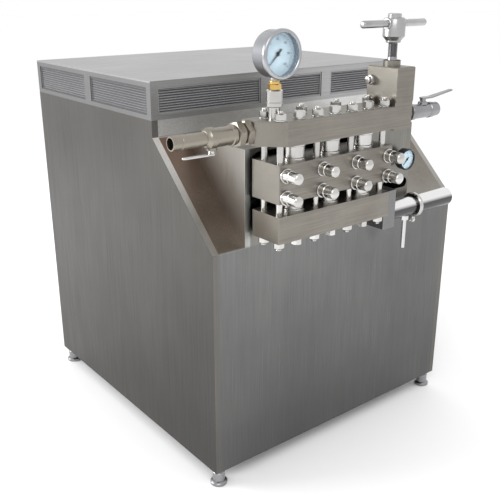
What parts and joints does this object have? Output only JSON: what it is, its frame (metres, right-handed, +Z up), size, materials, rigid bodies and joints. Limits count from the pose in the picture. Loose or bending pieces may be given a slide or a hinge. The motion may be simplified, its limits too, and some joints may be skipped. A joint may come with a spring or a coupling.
{
  "type": "high-pressure homogenizer",
  "caption": "Floor-standing high-pressure homogenizer: a sloped stainless cabinet with its plunger pump head, homogenizing valve with T-handle, pressure gauge and pipes in front",
  "frame": {"origin": "bottom centre of the bounding box, on the floor", "axes": "+X to the machine's right as seen from the front, +Y to the back, +Z up"},
  "size_m": [1.027, 1.107, 1.212],
  "materials": {
    "sheet_steel": "brushed stainless sheet",
    "head_steel": "ground stainless steel with a warm grey cast",
    "polished_steel": "turned and polished stainless steel",
    "machined_steel": "ground steel",
    "frame_paint": "satin grey paint",
    "case_paint": "satin machine paint on cast iron",
    "motor_paint": "satin blue-grey paint",
    "pulley_iron": "turned cast iron",
    "belt_rubber": "matte fabric-faced rubber",
    "brass": "turned brass",
    "dial_white": "matte white dial plate",
    "lens_glass": "clear glass",
    "needle_black": "matte black"
  },
  "bodies": {
    "machine": {"left_side_panel": "sheet_steel", "right_side_panel": "sheet_steel", "front_panel": "sheet_steel", "head_box": "sheet_steel", "slope_panels": "sheet_steel", "rear_panel": "sheet_steel", "vent_frame": "sheet_steel", "vent_grilles": "sheet_steel", "top_cover": "sheet_steel", "pump_block": "head_steel", "lower_plate": "head_steel", "upper_plate": "head_steel", "valve_block": "head_steel", "valve_body": "head_steel", "tie_rods": "polished_steel", "valve_sleeves": "polished_steel", "cap_nuts": "polished_steel", "side_plug": "polished_steel", "gauge_stem": "polished_steel", "gauge_case": "polished_steel", "small_gauge_case": "polished_steel", "left_pipe": "polished_steel", "left_cock": "polished_steel", "outlet_cock": "polished_steel", "inlet_pipe": "polished_steel", "inlet_clamp": "polished_steel", "feet": "polished_steel", "base_frame": "frame_paint", "crankcase_stand": "frame_paint", "crankcase": "case_paint", "motor_body": "motor_paint", "v_belts": "belt_rubber", "packing_boxes": "machined_steel", "homogenizing_valve": "machined_steel", "disc_springs": "machined_steel", "gauge_nut": "brass", "gauge_dial": "dial_white", "small_gauge_dial": "dial_white", "gauge_lens": "lens_glass"},
    "crank": {"crankshaft": "machined_steel", "driven_pulley": "pulley_iron"},
    "rotor": {"motor_rotor": "machined_steel", "motor_pulley": "pulley_iron"},
    "seat_carrier": {"spring_seat": "machined_steel"},
    "handle": {"spindle": "polished_steel", "handle_hub": "polished_steel", "handle_bar": "polished_steel"},
    "pointer": {"gauge_needle": "needle_black"},
    "small_pointer": {"small_gauge_needle": "needle_black"},
    "left_cock_lever": {"left_lever": "polished_steel"},
    "outlet_cock_lever": {"outlet_lever": "polished_steel"},
    "plunger_body_1": {"plunger_1": "machined_steel"},
    "plunger_body_2": {"plunger_2": "machined_steel"},
    "plunger_body_3": {"plunger_3": "machined_steel"},
    "suction_ball_1_body": {"suction_ball_1": "polished_steel"},
    "suction_ball_2_body": {"suction_ball_2": "polished_steel"},
    "suction_ball_3_body": {"suction_ball_3": "polished_steel"},
    "discharge_ball_1_body": {"discharge_ball_1": "polished_steel"},
    "discharge_ball_2_body": {"discharge_ball_2": "polished_steel"},
    "discharge_ball_3_body": {"discharge_ball_3": "polished_steel"}
  },
  "joints": [
    {"name": "seat_travel", "type": "slide", "parent": "machine", "child": "seat_carrier", "axis": [0, 0, -1], "range_m": [0, 0.006], "deforming": ["disc_springs"]},
    {"name": "handle_turn", "type": "hinge", "parent": "seat_carrier", "child": "handle", "pos_m": [0.1385, -0.4525, 1.142], "axis": [0, 0, -1], "range_deg": [0, 1080]},
    {"name": "outlet_lever_turn", "type": "hinge", "parent": "machine", "child": "outlet_cock_lever", "pos_m": [0.2735, -0.4525, 0.99], "axis": [0, 0, -1], "range_deg": [0, 90]},
    {"name": "left_lever_turn", "type": "hinge", "parent": "machine", "child": "left_cock_lever", "pos_m": [-0.4065, -0.4255, 0.9285], "axis": [0, 0, 1], "range_deg": [0, 90]},
    {"name": "gauge_needle_turn", "type": "hinge", "parent": "machine", "child": "pointer", "pos_m": [-0.2505, -0.461, 1.135], "axis": [0, 1, 0], "range_deg": [0, 270], "stiffness_Nm_per_rad": 0.002},
    {"name": "small_gauge_needle_turn", "type": "hinge", "parent": "machine", "child": "small_pointer", "pos_m": [0.2535, -0.429, 0.822], "axis": [0, 1, 0], "range_deg": [0, 270], "stiffness_Nm_per_rad": 0.001},
    {"name": "plunger_1_stroke", "type": "slide", "parent": "machine", "child": "plunger_body_1", "axis": [0, 1, 0], "range_m": [-0.05, 0]},
    {"name": "plunger_2_stroke", "type": "slide", "parent": "machine", "child": "plunger_body_2", "axis": [0, 1, 0], "range_m": [-0.0125, 0.0375]},
    {"name": "plunger_3_stroke", "type": "slide", "parent": "machine", "child": "plunger_body_3", "axis": [0, 1, 0], "range_m": [-0.0125, 0.0375]},
    {"name": "suction_ball_1_lift", "type": "slide", "parent": "machine", "child": "suction_ball_1_body", "axis": [0, 0, 1], "range_m": [0, 0.006]},
    {"name": "suction_ball_2_lift", "type": "slide", "parent": "machine", "child": "suction_ball_2_body", "axis": [0, 0, 1], "range_m": [0, 0.006]},
    {"name": "suction_ball_3_lift", "type": "slide", "parent": "machine", "child": "suction_ball_3_body", "axis": [0, 0, 1], "range_m": [0, 0.006]},
    {"name": "discharge_ball_1_lift", "type": "slide", "parent": "machine", "child": "discharge_ball_1_body", "axis": [0, 0, 1], "range_m": [0, 0.006]},
    {"name": "discharge_ball_2_lift", "type": "slide", "parent": "machine", "child": "discharge_ball_2_body", "axis": [0, 0, 1], "range_m": [0, 0.006]},
    {"name": "discharge_ball_3_lift", "type": "slide", "parent": "machine", "child": "discharge_ball_3_body", "axis": [0, 0, 1], "range_m": [0, 0.006]},
    {"name": "crank_spin", "type": "hinge", "parent": "machine", "child": "crank", "pos_m": [0.2335, 0.0475, 0.848], "axis": [1, 0, 0], "continuous": true},
    {"name": "motor_spin", "type": "hinge", "parent": "machine", "child": "rotor", "pos_m": [0.2335, 0.3675, 0.252], "axis": [1, 0, 0], "continuous": true}
  ],
  "couplings": [
    {"joint": "seat_travel", "follows": "handle_turn", "m_per_rad": 0.00031831},
    {"joint": "motor_spin", "follows": "crank_spin", "ratio": 2.8}
  ]
}
